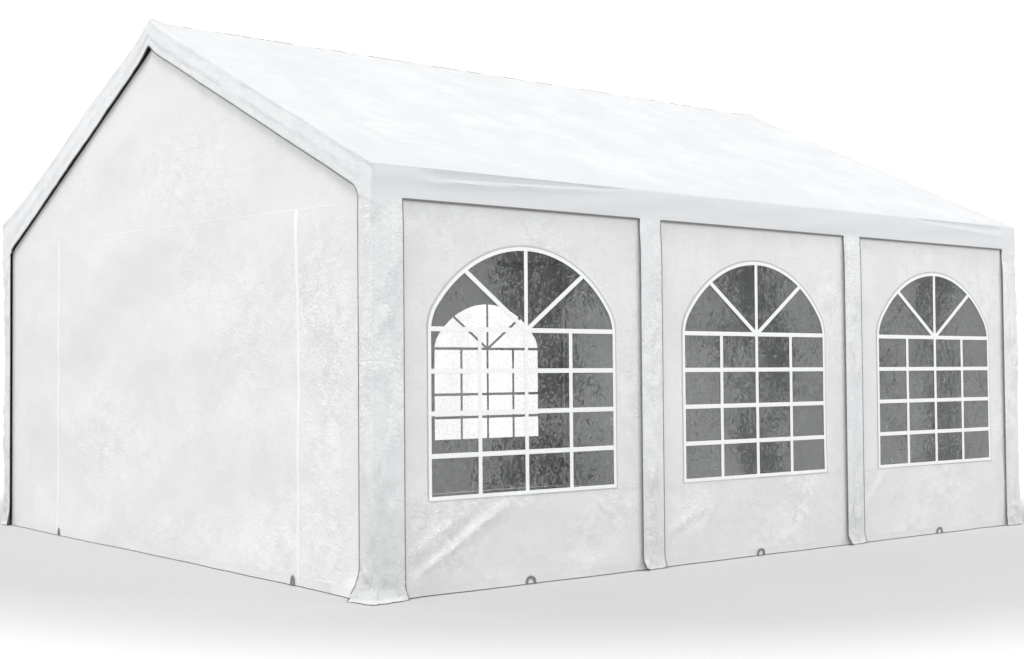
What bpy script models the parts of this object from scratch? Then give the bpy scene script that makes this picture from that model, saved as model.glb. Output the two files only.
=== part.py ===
"""Marquee tent, 6 m long, 5 m wide and 3.47 m high, in metres with +Z up.

A frame of round steel tubes carries a ridged roof cover with a valance, six side panels with arched
windows, strips over the legs, and two gable walls, each with a zipped door panel.
X runs along the ridge, -Y is the front long side and the origin is the middle of the ground plan.
"""

import math

import bmesh
import bpy
from mathutils import Vector

# Driving dimensions
LENGTH = 6.0
WIDTH = 5.0
EAVE_HEIGHT = 2.245
RIDGE_HEIGHT = 3.465
VALANCE_FOOT = 2.07
MIDDLE_LEG_X = 0.975
HEM_HEIGHT = 0.005

# Sheets, the gap that neighbouring pieces keep, and how far the cover hangs outside the walls
SHEET = 0.003
GAP = 0.0003
STAND_OFF = 0.018

# Steel frame, with the angle under which the sides of a tube are shaded as one round face
TUBE_RADIUS = 0.019
SLEEVE_RADIUS = 0.0215
SLEEVE_STEP = 0.0002
SLEEVE_ARM = 0.12
TUBE_SIDES = 16
ROUND_UNDER = math.radians(40)
FOOT_SIZE = 0.10
FOOT_THICKNESS = 0.004

# Strips over the legs and along the gable edges
MIDDLE_STRIP = 0.18
CORNER_STRIP_SIDE = 0.19
CORNER_STRIP_GABLE = 0.135
GABLE_TRIM_HEIGHT = 0.18

# Arched window in each side panel
WINDOW_HALF_WIDTH = 0.67
WINDOW_SILL = 0.515
WINDOW_SPRING = 1.455
WINDOW_CROWN = 1.842
END_WINDOW_X = 1.95
ARCH_STEPS = 16

# Zipped door in each gable, a little to the front of its middle
DOOR_FRONT_ZIP = -1.75
DOOR_BACK_ZIP = 1.48
DOOR_HEIGHT = 2.10

# Values that follow from them
SLOPE = (RIDGE_HEIGHT - EAVE_HEIGHT) / (WIDTH / 2)
PITCH = math.atan(SLOPE)
COVER_INNER = SHEET
WALL_OUTER = COVER_INNER + STAND_OFF
WALL_INNER = WALL_OUTER + SHEET
FRAME_FACE = WALL_INNER + GAP
FRAME_INSET = FRAME_FACE + SLEEVE_RADIUS
ROOF_INSET = (SHEET + GAP + SLEEVE_RADIUS) / math.cos(PITCH)
SHEET_DROP = SHEET / math.cos(PITCH)
LEG_Y = WIDTH / 2 - FRAME_INSET
END_LEG_X = LENGTH / 2 - FRAME_INSET
LEG_XS = (-END_LEG_X, -MIDDLE_LEG_X, MIDDLE_LEG_X, END_LEG_X)
SIDES = (("front", -1), ("back", 1))
ENDS = (("left", -1), ("right", 1))


def clear_scene():
    for thing in list(bpy.data.objects):
        bpy.data.objects.remove(thing, do_unlink=True)


def make_material(name, colour, roughness, metallic=0.0, alpha=1.0):
    material = bpy.data.materials.new(name)
    material.use_nodes = True
    shader = material.node_tree.nodes["Principled BSDF"]
    shader.inputs["Base Color"].default_value = (*colour, 1.0)
    shader.inputs["Roughness"].default_value = roughness
    shader.inputs["Metallic"].default_value = metallic
    shader.inputs["Alpha"].default_value = alpha
    return material


def roof_height(y):
    """Height of the roof cover's outer surface at this distance across the tent."""
    return RIDGE_HEIGHT - SLOPE * abs(y)


def add_object(name, mesh, material):
    thing = bpy.data.objects.new(name, mesh)
    thing.data.materials.append(material)
    bpy.context.scene.collection.objects.link(thing)
    return thing


def prism(name, outline, depth, material):
    """A plate: a closed outline in its own X and Z, pushed along +Y by depth."""
    shape = bmesh.new()
    corners = [shape.verts.new((x, 0.0, z)) for x, z in outline]
    face = shape.faces.new(corners)
    pushed = bmesh.ops.extrude_face_region(shape, geom=[face])
    moved = [item for item in pushed["geom"] if isinstance(item, bmesh.types.BMVert)]
    bmesh.ops.translate(shape, verts=moved, vec=(0.0, depth, 0.0))
    bmesh.ops.recalc_face_normals(shape, faces=shape.faces)
    mesh = bpy.data.meshes.new(name)
    shape.to_mesh(mesh)
    shape.free()
    return add_object(name, mesh, material)


def rectangle(low_x, high_x, low_z, high_z):
    return [(low_x, low_z), (high_x, low_z), (high_x, high_z), (low_x, high_z)]


def place_on_side(plate, outer_face, side):
    """Stands a plate on a long side, with its outer face this far inside the tent's width."""
    plate.location.y = side * (WIDTH / 2 - outer_face)
    if side > 0:
        plate.rotation_euler.z = math.pi


def place_on_end(plate, outer_face, end):
    """Stands a plate across a gable, its own X running along the tent's Y."""
    plate.location.x = end * (LENGTH / 2 - outer_face)
    plate.rotation_euler.z = math.pi / 2 * end


def tube(name, start, finish, radius, material):
    """A round bar from start to finish, with a corner line turned to face the sheets."""
    start = Vector(start)
    direction = Vector(finish) - start
    shape = bmesh.new()
    bmesh.ops.create_cone(
        shape,
        cap_ends=True,
        segments=TUBE_SIDES,
        radius1=radius,
        radius2=radius,
        depth=direction.length,
    )
    bmesh.ops.translate(shape, verts=shape.verts, vec=(0.0, 0.0, direction.length / 2))
    mesh = bpy.data.meshes.new(name)
    shape.to_mesh(mesh)
    shape.free()
    mesh.shade_smooth()
    mesh.set_sharp_from_angle(angle=ROUND_UNDER)
    bar = add_object(name, mesh, material)
    bar.location = start
    bar.rotation_mode = "QUATERNION"
    bar.rotation_quaternion = direction.to_track_quat("Z", "Y")
    return bar


def as_helper(thing):
    thing.hide_render = True
    thing.display_type = "WIRE"
    return thing


def combine(thing, helper, operation):
    modifier = thing.modifiers.new(helper.name, "BOOLEAN")
    modifier.operation = operation
    modifier.solver = "EXACT"
    modifier.object = as_helper(helper)


def eave_point(x, side):
    """Where the middle lines of a leg, a rafter and the eave rail cross."""
    return Vector((x, side * LEG_Y, roof_height(LEG_Y) - ROOF_INSET))


def ridge_point(x):
    return Vector((x, 0.0, roof_height(0.0) - ROOF_INSET))


def up_slope(side):
    """The direction of a rafter, from the eave to the ridge."""
    return (ridge_point(0.0) - eave_point(0.0, side)).normalized()


def make_legs(steel):
    for side_name, side in SIDES:
        for number, x in enumerate(LEG_XS, start=1):
            top = eave_point(x, side)
            top.z -= SLEEVE_ARM + GAP
            foot_middle = (x, top.y, FOOT_THICKNESS / 2)
            leg = tube(f"leg_{side_name}_{number}", foot_middle, top, TUBE_RADIUS, steel)
            # The square foot reaches inwards only, so that the cover hangs straight past it.
            reach = FOOT_SIZE / 2 - SLEEVE_RADIUS
            low_x = -FOOT_SIZE / 2
            if abs(x) == END_LEG_X:
                low_x -= math.copysign(reach, x)
            outline = rectangle(low_x, low_x + FOOT_SIZE, 0.0, FOOT_THICKNESS)
            foot = prism(f"foot_of_{leg.name}", outline, FOOT_SIZE, steel)
            low_y = min(side * (LEG_Y + SLEEVE_RADIUS), side * (LEG_Y + SLEEVE_RADIUS - FOOT_SIZE))
            foot.location = (x, low_y, 0.0)
            combine(leg, foot, "UNION")


def make_rafters(steel):
    for side_name, side in SIDES:
        step = up_slope(side) * (SLEEVE_ARM + GAP)
        for number, x in enumerate(LEG_XS, start=1):
            start = eave_point(x, side) + step
            finish = ridge_point(x) - step
            tube(f"rafter_{side_name}_{number}", start, finish, TUBE_RADIUS, steel)


def make_rail(name, middle_of, arms, steel):
    """A tube along the tent with a sleeve and two socket arms at each frame, all welded."""
    end_x = LENGTH / 2 - FRAME_FACE
    rail = tube(name, middle_of(-end_x + GAP), middle_of(end_x - GAP), TUBE_RADIUS, steel)
    for number, x in enumerate(LEG_XS, start=1):
        low = middle_of(max(x - SLEEVE_ARM, -end_x))
        high = middle_of(min(x + SLEEVE_ARM, end_x))
        sleeve = tube(f"{name}_sleeve_{number}", low, high, SLEEVE_RADIUS, steel)
        combine(rail, sleeve, "UNION")
        for arm_number, arm in enumerate(arms, start=1):
            # Each arm is a hair thinner than the last, so that their faces never coincide.
            radius = SLEEVE_RADIUS - SLEEVE_STEP * arm_number
            start = middle_of(x)
            finish = start + arm * SLEEVE_ARM
            socket = tube(f"{name}_socket_{number}_{arm_number}", start, finish, radius, steel)
            combine(rail, socket, "UNION")


def make_rails(steel):
    for side_name, side in SIDES:
        arms = (Vector((0.0, 0.0, -1.0)), up_slope(side))
        make_rail(f"eave_rail_{side_name}", lambda x, s=side: eave_point(x, s), arms, steel)
    make_rail("ridge_rail", ridge_point, (-up_slope(-1), -up_slope(1)), steel)


def make_roof(cover):
    """The two slopes of the roof cover: sheared plates that meet at the ridge."""
    half = WIDTH / 2
    for side_name, side in SIDES:
        outline = [
            (side * half, roof_height(half)),
            (side * half, roof_height(half) - SHEET_DROP),
            (side * GAP / 2, roof_height(0.0) - SHEET_DROP),
            (side * GAP / 2, roof_height(0.0)),
        ]
        slope = prism(f"roof_{side_name}", outline, LENGTH, cover)
        slope.rotation_euler.z = math.pi / 2
        slope.location.x = LENGTH / 2


def make_valances(cover):
    top = EAVE_HEIGHT - SHEET_DROP - GAP
    reach = LENGTH / 2 - COVER_INNER - GAP
    for side_name, side in SIDES:
        outline = rectangle(-reach, reach, VALANCE_FOOT, top)
        valance = prism(f"valance_{side_name}", outline, SHEET, cover)
        place_on_side(valance, 0.0, side)


def make_gable_trims(cover):
    """The edge of the roof cover that hangs over each gable, with a short foot at each corner."""
    half = WIDTH / 2
    inner = half - CORNER_STRIP_GABLE
    drop = SHEET_DROP + GAP
    for end_name, end in ENDS:
        outline = [
            (half, VALANCE_FOOT),
            (half, EAVE_HEIGHT - drop),
            (0.0, RIDGE_HEIGHT - drop),
            (-half, EAVE_HEIGHT - drop),
            (-half, VALANCE_FOOT),
            (-inner, VALANCE_FOOT),
            (-inner, roof_height(inner) - GABLE_TRIM_HEIGHT),
            (0.0, RIDGE_HEIGHT - GABLE_TRIM_HEIGHT),
            (inner, roof_height(inner) - GABLE_TRIM_HEIGHT),
            (inner, VALANCE_FOOT),
        ]
        trim = prism(f"gable_trim_{end_name}", outline, SHEET, cover)
        place_on_end(trim, 0.0, end)


def make_middle_strips(cover):
    top = VALANCE_FOOT - GAP
    for side_name, side in SIDES:
        for number, x in enumerate((-MIDDLE_LEG_X, MIDDLE_LEG_X), start=1):
            outline = rectangle(-MIDDLE_STRIP / 2, MIDDLE_STRIP / 2, HEM_HEIGHT, top)
            strip = prism(f"leg_cover_{side_name}_{number}", outline, SHEET, cover)
            place_on_side(strip, 0.0, side)
            strip.location.x = x


def make_corner_strips(cover):
    """An angle of sheet round each corner leg, drawn in plan and pushed upwards."""
    for side_name, side in SIDES:
        for end_name, end in ENDS:
            name = f"corner_cover_{side_name}_{end_name}"
            plan = [
                (0.0, 0.0),
                (CORNER_STRIP_SIDE, 0.0),
                (CORNER_STRIP_SIDE, SHEET),
                (SHEET, SHEET),
                (SHEET, CORNER_STRIP_GABLE),
                (0.0, CORNER_STRIP_GABLE),
            ]
            outline = [(-end * x, side * y) for x, y in plan]
            strip = prism(name, outline, VALANCE_FOOT - GAP - HEM_HEIGHT, cover)
            strip.rotation_euler.x = math.pi / 2
            strip.location = (end * LENGTH / 2, side * WIDTH / 2, HEM_HEIGHT)


def window_outline(inset):
    """A rectangle with a round arch on top, drawn this far inside the hole in the panel."""
    half = WINDOW_HALF_WIDTH - inset
    rise = WINDOW_CROWN - WINDOW_SPRING
    radius = (WINDOW_HALF_WIDTH**2 + rise**2) / (2 * rise) - inset
    centre = WINDOW_CROWN - inset - radius
    reach = math.asin(half / radius)
    outline = [(-half, WINDOW_SILL + inset), (half, WINDOW_SILL + inset)]
    for step in range(ARCH_STEPS + 1):
        angle = reach - 2 * reach * step / ARCH_STEPS
        outline.append((radius * math.sin(angle), centre + radius * math.cos(angle)))
    return outline


def make_side_panels(cloth, film):
    """Three panels on each long side, which meet behind the strips over the middle legs."""
    top = eave_point(0.0, 1).z
    end_x = LENGTH / 2 - FRAME_FACE
    edges = (-end_x, -MIDDLE_LEG_X, MIDDLE_LEG_X, end_x)
    window_xs = (-END_WINDOW_X, 0.0, END_WINDOW_X)
    for side_name, side in SIDES:
        for number in (1, 2, 3):
            low = edges[number - 1] + GAP
            high = edges[number] - GAP
            middle = window_xs[number - 1]
            outline = rectangle(low - middle, high - middle, HEM_HEIGHT, top)
            # A plate on the back side is turned round, so its own X runs the other way.
            outline = [(-side * x, z) for x, z in outline]
            panel = prism(f"side_panel_{side_name}_{number}", outline, SHEET, cloth)
            place_on_side(panel, WALL_OUTER, side)
            panel.location.x = middle
            hole = prism(f"hole_{side_name}_{number}", window_outline(0.0), 3 * SHEET, cloth)
            place_on_side(hole, WALL_OUTER - SHEET, side)
            hole.location.x = middle
            combine(panel, hole, "DIFFERENCE")
            pane = prism(f"window_{side_name}_{number}", window_outline(GAP), SHEET, film)
            place_on_side(pane, WALL_OUTER, side)
            pane.location.x = middle


def make_gables(cloth):
    """Each gable wall with its doorway, and the zipped door panel that fills it."""
    reach = WIDTH / 2 - FRAME_FACE
    drop = SHEET_DROP + COVER_INNER
    wall_outline = [
        (-reach, HEM_HEIGHT),
        (DOOR_FRONT_ZIP, HEM_HEIGHT),
        (DOOR_FRONT_ZIP, DOOR_HEIGHT),
        (DOOR_BACK_ZIP, DOOR_HEIGHT),
        (DOOR_BACK_ZIP, HEM_HEIGHT),
        (reach, HEM_HEIGHT),
        (reach, roof_height(reach) - drop),
        (0.0, RIDGE_HEIGHT - drop),
        (-reach, roof_height(reach) - drop),
    ]
    low = DOOR_FRONT_ZIP + GAP
    high = DOOR_BACK_ZIP - GAP
    door_outline = rectangle(low, high, HEM_HEIGHT, DOOR_HEIGHT - GAP)
    for end_name, end in ENDS:
        # A plate's own X runs along +Y at the right gable and along -Y at the left one.
        outline = [(end * y, z) for y, z in wall_outline]
        wall = prism(f"gable_wall_{end_name}", outline, SHEET, cloth)
        place_on_end(wall, WALL_OUTER, end)
        outline = [(end * y, z) for y, z in door_outline]
        door = prism(f"door_{end_name}", outline, SHEET, cloth)
        place_on_end(door, WALL_OUTER, end)


def main():
    clear_scene()
    steel = make_material("galvanised_steel", (0.55, 0.56, 0.57), 0.4, metallic=1.0)
    cover = make_material("cover_sheet", (0.80, 0.82, 0.85), 0.5)
    cloth = make_material("wall_sheet", (0.78, 0.78, 0.77), 0.5)
    film = make_material("window_film", (0.40, 0.41, 0.42), 0.15, alpha=0.5)
    make_legs(steel)
    make_rafters(steel)
    make_rails(steel)
    make_roof(cover)
    make_valances(cover)
    make_gable_trims(cover)
    make_middle_strips(cover)
    make_corner_strips(cover)
    make_side_panels(cloth, film)
    make_gables(cloth)


main()
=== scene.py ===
import math

import bmesh
import bpy
import numpy as np
from mathutils import Matrix, Vector
from mathutils.geometry import delaunay_2d_cdt


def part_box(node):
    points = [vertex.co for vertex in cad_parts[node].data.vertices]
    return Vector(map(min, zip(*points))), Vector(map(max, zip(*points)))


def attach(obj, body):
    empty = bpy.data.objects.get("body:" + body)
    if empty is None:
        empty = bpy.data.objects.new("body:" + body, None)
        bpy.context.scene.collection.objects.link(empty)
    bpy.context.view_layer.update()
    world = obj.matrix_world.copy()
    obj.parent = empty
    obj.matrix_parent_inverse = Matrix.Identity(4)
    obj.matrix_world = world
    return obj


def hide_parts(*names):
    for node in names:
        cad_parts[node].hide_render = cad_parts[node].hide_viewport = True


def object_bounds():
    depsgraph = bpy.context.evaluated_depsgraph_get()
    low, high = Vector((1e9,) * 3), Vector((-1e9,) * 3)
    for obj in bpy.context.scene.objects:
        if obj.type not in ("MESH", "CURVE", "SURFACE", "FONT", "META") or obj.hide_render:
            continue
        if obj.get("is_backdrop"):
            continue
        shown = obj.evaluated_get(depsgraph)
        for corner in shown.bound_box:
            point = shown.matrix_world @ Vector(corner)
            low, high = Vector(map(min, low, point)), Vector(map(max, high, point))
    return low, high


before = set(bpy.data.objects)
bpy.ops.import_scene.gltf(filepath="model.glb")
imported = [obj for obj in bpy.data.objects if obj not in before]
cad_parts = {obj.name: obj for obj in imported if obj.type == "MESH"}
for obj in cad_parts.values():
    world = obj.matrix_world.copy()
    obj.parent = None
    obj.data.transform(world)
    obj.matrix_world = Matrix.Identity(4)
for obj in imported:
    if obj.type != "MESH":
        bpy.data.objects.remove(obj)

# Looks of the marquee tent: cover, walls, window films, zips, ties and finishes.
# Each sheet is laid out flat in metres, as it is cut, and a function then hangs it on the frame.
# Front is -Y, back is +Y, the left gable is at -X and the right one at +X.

CAD_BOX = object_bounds()

# Sizes read from the frame
HALF_LENGTH, HALF_WIDTH, RIDGE = CAD_BOX[1]
ROOF_SHEET_DROP = 0.0033
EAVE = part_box("roof_front")[0].z + ROOF_SHEET_DROP
SLOPE = (RIDGE - EAVE) / HALF_WIDTH
PITCH_COS = math.cos(math.atan(SLOPE))
PITCH_SIN = math.sin(math.atan(SLOPE))
SLOPE_LENGTH = HALF_WIDTH / PITCH_COS
VALANCE_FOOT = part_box("valance_front")[0].z
VALANCE_DROP = EAVE - VALANCE_FOOT
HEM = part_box("leg_cover_front_1")[0].z
STRIP_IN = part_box("leg_cover_front_2")[0].x
STRIP_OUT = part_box("leg_cover_front_2")[1].x
STRIP_MIDDLE = (STRIP_IN + STRIP_OUT) / 2
STRIP_HALF = (STRIP_OUT - STRIP_IN) / 2
CORNER_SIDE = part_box("corner_cover_front_left")[1].x + HALF_LENGTH
CORNER_START = HALF_LENGTH - CORNER_SIDE
CORNER_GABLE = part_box("corner_cover_front_left")[1].y + HALF_WIDTH
GABLE_INNER = HALF_WIDTH - CORNER_GABLE
SIDE_WALL_Y = -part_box("side_panel_front_1")[0].y
GABLE_WALL_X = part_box("gable_wall_right")[1].x
LEG_X = [sum(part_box(f"rafter_front_{n}")[end].x for end in (0, 1)) / 2 for n in (1, 2, 3, 4)]
DOOR_LOW, DOOR_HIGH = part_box("door_left")

# Sizes of the cover and its folds
TRIM_DROP = 0.18
SHEET_THICKNESS = 0.0012
FOLD_RADIUS = 0.013
FOLD_STEPS = (0.004, 0.008, 0.012, 0.016, 0.024, 0.036, 0.050)
ROOF_CELL = 0.060
STRIP_CELL = 0.015
STRIP_ROW = 0.036
STRIP_HEAD = 0.15
FOOT_ROW = 0.012
FOOT_HEIGHT = 0.20
INNER_CORNER_REACH = 0.045
INNER_CORNER_FADE = 0.1
INNER_CORNER_CUT = 0.013
HEM_WIDTH = 0.030
ROUNDING_PASSES = 24
CUT_EDGE_ANGLE = math.radians(55)
BAND_EDGE_ANGLE = math.radians(35)

# Grey welt on the cover's free edges, dark as painted shade of the edge, and near-black strips of
# painted shade on the walls behind them
WELT_EAVE = 0.0055
WELT_RAKE = 0.0045
WELT_UPRIGHT = 0.0028
RIDGE_SEAM = 0.0045
WALL_TUCK = 0.009
GAP_SHADE_SIDE_RISE = 0.022
GAP_SHADE_SIDE_HALF = 0.018
GAP_SHADE_RAKE_HALF = 0.030
GAP_SHADE_UPRIGHT_HALF = 0.018

# Walls: the cells of their sheets, hems, the seams beside the windows and the gap under the roof
WALL_CELL = 0.021
GABLE_CELL = 0.026
SIDE_HEM_HALF = 0.020
GABLE_HEM_HALF = 0.022
SILL_SEAM_DROP = 0.030
SILL_SEAM_GAP = 0.03
SILL_SEAM_HALF = 0.007
GABLE_ROOF_GAP = 0.006

# Bands on the walls: how far each lies above its sheet, and its thickness
SIDE_HEM = (0.0004, 0.0007)
GABLE_HEM = (0.0005, 0.0007)
SILL_SEAM = (0.0002, 0.0005)
SIDE_GAP_SHADE = (0.0004, 0.0008)
GABLE_GAP_SHADE = (0.0012, 0.0008)
ZIP_TAPE = (0.0004, 0.0003)
DOOR_SEAM_BAND = (0.0005, 0.0003)
WINDOW_BORDER = (0.0018, 0.0016)
WINDOW_WELD = (0.0010, 0.0010)
TIE_BAND = (0.0024, 0.0030)

# Windows
WINDOW_SPRING = 1.455
SPRING_SOFTENING = 0.07
ARCH_STEPS = 32
RIM_CELL = 0.03
BAR_WIDTH = 0.026
BAR_THICKNESS = 0.0012
BAR_LIFTS = (0.0004, 0.0008, 0.0012)
BORDER_WIDTH = 0.020
BORDER_OFFSET = 0.008
# Weld line round a window, its grey partly painted shadow of the raised border: offset and half widths
WELD_OFFSET = 0.0235
WELD_HALF_ARCH = 0.0055
WELD_HALF_LOW = (0.0008, 0.0032)
FILM_CELL = 0.024
FILM_OVERLAP = 0.008
FILM_THICKNESS = 0.0008
FILM_BEHIND = 0.0012
FILM_RIPPLE = 0.0030
FILM_FLAT_RIM = 0.08
TRANSOM_HEIGHT = 1.400
FAN_ANGLE = math.radians(36)

# Doors: the seam over each, as two points across the gable and up, and the zips
DOOR_SEAM = ((-2.28, 2.06), (1.70, 2.15))
DOOR_SEAM_HALF = 0.0018
ZIP_TOP_FRONT = 2.03
ZIP_TAPE_HALF = 0.015
ZIP_PITCH = 0.0055
ZIP_FOOT = 0.02
ZIP_HEAD = 0.01

# Ties: half width and height of a loop, and how far it stands from the window's middle or the zip
TIE_HALF_BAND = 0.008
SIDE_TIE = (0.030, 0.034)
SIDE_TIE_SHIFT = 0.02
GABLE_TIE = (0.012, 0.044)
GABLE_TIE_SHIFTS = (0.05, -0.03)

# Sides of the welts and of the bolts
TUBE_SIDES = 6

# Steel: distance from the cover's outer face to the middle of the tubes, the sockets' size, and the
# outline of a bolt's head on its flange, as rises and radii
ROOF_TO_TUBE = 0.0248
SOCKET_RADIUS = 0.0215
BOLT_PLACE = 0.085
BOLT_OUTLINE = ((0.0, 0.0095), (0.0014, 0.0095), (0.0014, 0.0068), (0.0060, 0.0068), (0.0068, 0.0056))

# Camera of the photograph, fitted to the edges of the tent
CAMERA_SPOT = (-7.249, -8.436, 1.171)
CAMERA_HEADING = math.radians(53.17)
CAMERA_RISE = math.radians(1.71)
CAMERA_ROLL = math.radians(-0.32)
CAMERA_LENS = 50.5
CAMERA_SHIFT = 0.1047

FLOOR_FADE = (4.2, 6.6)

TENT_MIDDLE = (0.0, 0.0, 1.2)
SIDES = (("front", -1), ("back", 1))
ENDS = (("left", -1), ("right", 1))
PANELS = [(name, side, number) for name, side in SIDES for number in (1, 2, 3)]


def smooth(low, high, values):
    """0 below low, 1 above high, and a smooth rise between them; low may be the larger."""
    part = np.clip((np.asarray(values, float) - low) / (high - low), 0.0, 1.0)
    return part * part * (3 - 2 * part)


def hump(values, middle, reach):
    """1 at the middle, and a soft fall to 0 on both sides of it."""
    return np.exp(-(((values - middle) / reach) ** 2))


def unit(vectors):
    return vectors / np.linalg.norm(vectors, axis=-1, keepdims=True)


def points_at(x, y, z):
    """Points from three coordinates, each a list or one number for all of them."""
    return np.stack(np.broadcast_arrays(x, y, z), 1)


def waves(points, seed, shortest, longest, stretch=(1.0, 1.0, 1.0), count=16):
    """Waviness between about -1 and 1: plane waves of fixed random heading and length."""
    random = np.random.default_rng(seed)
    scaled = points / np.array(stretch)
    total = np.zeros(len(points))
    for _ in range(count):
        heading = unit(random.normal(size=3))
        length = math.exp(random.uniform(math.log(shortest), math.log(longest)))
        total += np.sin(scaled @ heading * (2 * math.pi / length) + random.uniform(0, 2 * math.pi))
    return total / math.sqrt(count)


def creases(points, seed, size, stretch=(1.0, 1.0, 1.0)):
    """Crumpling: sharp creases between soft facets of about this size, from 0 up to about 1."""
    bend = 0.35 * size * np.stack([waves(points, seed + k, size, 3 * size) for k in (1, 2, 3)], 1)
    return np.abs(waves(points + bend, seed, 1.4 * size, 3.2 * size, stretch))


def roof_height(y):
    return RIDGE - SLOPE * np.abs(y)


# Meshes


def add_object(name, data):
    added = bpy.data.objects.new(name, data)
    bpy.context.scene.collection.objects.link(added)
    return added


def make_piece(name, points, faces, material, slot, thickness=None, crumple=None, crisp=False):
    """A mesh piece that rides with the tent, thickened inwards where it is a sheet."""
    mesh = bpy.data.meshes.new(name)
    mesh.from_pydata([tuple(p) for p in points], [], [tuple(f) for f in faces])
    mesh.validate()
    mesh.shade_smooth()
    if crisp:
        mesh.set_sharp_from_angle(angle=BAND_EDGE_ANGLE)
    if crumple is not None:
        mesh.attributes.new("crumple", "FLOAT", "POINT").data.foreach_set("value", crumple)
    piece = add_object(name, mesh)
    mesh.materials.append(material)
    if thickness:
        face_outwards(mesh)
        thicken(piece, thickness)
    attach(piece, "root")
    return piece


def face_outwards(mesh):
    """Turns all faces of an open sheet so that they look away from the middle of the tent."""
    shape = bmesh.new()
    shape.from_mesh(mesh)
    bmesh.ops.recalc_face_normals(shape, faces=shape.faces)
    centre = Vector(TENT_MIDDLE)
    outwards = sum(f.normal.dot(f.calc_center_median() - centre) * f.calc_area() for f in shape.faces)
    if outwards < 0:
        bmesh.ops.reverse_faces(shape, faces=shape.faces)
    shape.to_mesh(mesh)
    shape.free()


def thicken(piece, thickness):
    """Gives an open sheet its thickness on the inner side, with crisp cut edges."""
    wall = piece.modifiers.new("thickness", "SOLIDIFY")
    wall.thickness = thickness
    wall.offset = -1.0
    state = bpy.context.evaluated_depsgraph_get()
    solid = bpy.data.meshes.new_from_object(piece.evaluated_get(state))
    piece.modifiers.clear()
    solid.set_sharp_from_angle(angle=CUT_EDGE_ANGLE)
    piece.data = solid


def inside(points, loop):
    """Which of the flat points lie inside a closed outline."""
    found = np.zeros(len(points), bool)
    for (ax, ay), (bx, by) in zip(loop, np.roll(loop, -1, axis=0)):
        if ay == by:
            continue
        crossing = (ay > points[:, 1]) != (by > points[:, 1])
        at = ax + (points[:, 1] - ay) * (bx - ax) / (by - ay)
        found ^= crossing & (points[:, 0] < at)
    return found


def distance_to(points, loop):
    """Distance of flat points from a closed outline."""
    nearest = np.full(len(points), np.inf)
    for start, end in zip(loop, np.roll(loop, -1, axis=0)):
        along = end - start
        share = np.clip((points - start) @ along / max(along @ along, 1e-12), 0, 1)
        nearest = np.minimum(nearest, np.linalg.norm(points - start - share[:, None] * along, axis=1))
    return nearest


def stepped(starts, ends, cell):
    """Points along straight lines, none more than a cell apart, without the lines' ends."""
    points = []
    for start, end in zip(starts, ends):
        steps = max(1, math.ceil(np.linalg.norm(end - start) / cell))
        points += [start + (end - start) * k / steps for k in range(steps)]
    return points


def divided(loop, cell):
    """A closed outline with extra points, so that none of its edges is longer than the cell."""
    return np.array(stepped(loop, np.roll(loop, -1, axis=0), cell))


def line(*corners, cell=0.02):
    """Points along straight lines, close enough together to follow a folded sheet."""
    corners = np.array(corners, float)
    return np.array([*stepped(corners, corners[1:], cell), corners[-1]])


def level(start, end, height):
    """Points along a level line on a wall."""
    return line((start, height), (end, height))


def only_used(points, faces):
    """The points that the faces use, and the faces with the new numbers of their points."""
    used, numbers = np.unique(faces, return_inverse=True)
    return points[used], numbers.reshape(faces.shape)


def cut_sheet(outline, holes, cell):
    """Even triangles that fill an outline around its holes: flat points and faces."""
    loops = [np.array(loop, float) for loop in [outline, *holes]]

    def filled(points):
        """Which flat points lie inside the outline and in none of its holes."""
        return sum(inside(points, loop) for loop in loops) == 1

    low = loops[0].min(0)
    high = loops[0].max(0)
    row = cell * math.sqrt(3) / 2
    grid = [
        (x + (number % 2) * cell / 2, y)
        for number, y in enumerate(np.arange(low[1] + row / 2, high[1], row))
        for x in np.arange(low[0] + cell / 4, high[0], cell)
    ]
    grid = np.array(grid)
    from_edges = np.min([distance_to(grid, loop) for loop in loops], axis=0)
    points = list(grid[filled(grid) & (from_edges > 0.55 * cell)])
    edges = []
    for loop in loops:
        first = len(points)
        rim = divided(loop, cell)
        points += list(rim)
        edges += [(first + k, first + (k + 1) % len(rim)) for k in range(len(rim))]
    found = delaunay_2d_cdt([Vector(p) for p in points], edges, [], 0, 1e-6)
    flat = np.array([tuple(v) for v in found[0]])
    faces = np.array(found[2])
    return only_used(flat, faces[filled(flat[faces].mean(1))])


def tube_faces(rings, sides, closed=False):
    """Faces between rings of points, and over both ends unless the rings make a closed loop."""
    faces = []
    for k in range(rings if closed else rings - 1):
        a = sides * k
        b = sides * ((k + 1) % rings)
        faces += [(a + i, a + (i + 1) % sides, b + (i + 1) % sides, b + i) for i in range(sides)]
    if not closed:
        last = sides * (rings - 1)
        faces += [tuple(reversed(range(sides))), tuple(range(last, last + sides))]
    return faces


def ribbon(path, half_width, place, lift, thickness, closed=False):
    """A flat band along a line on a sheet: points and faces of a closed strip."""
    path = np.array(path, float)
    before = np.diff(path, axis=0, prepend=path[-1:])
    if not closed:
        before[0] = before[1]
    after = np.roll(before, -1, axis=0)
    if not closed:
        after[-1] = before[-1]
    after = unit(after)
    mean = unit(unit(before) + after)
    reach = half_width / np.maximum((mean * after).sum(1), 0.5)
    sideways = np.stack([-mean[:, 1], mean[:, 0]], 1) * reach[:, None]
    left = path + sideways
    right = path - sideways
    corners = [place(left, lift), place(right, lift)]
    corners += [place(right, lift + thickness), place(left, lift + thickness)]
    return np.stack(corners, 1).reshape(-1, 3), tube_faces(len(path), 4, closed)


def tube(centres, radii, across, up):
    """Rings round a line of centres: points and faces of a closed tube."""
    radii = np.broadcast_to(radii, len(centres))[:, None]
    angles = [2 * math.pi * k / TUBE_SIDES for k in range(TUBE_SIDES)]
    rings = [centres + radii * (math.cos(a) * across + math.sin(a) * up) for a in angles]
    return np.stack(rings, 1).reshape(-1, 3), tube_faces(len(centres), TUBE_SIDES)


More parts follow.
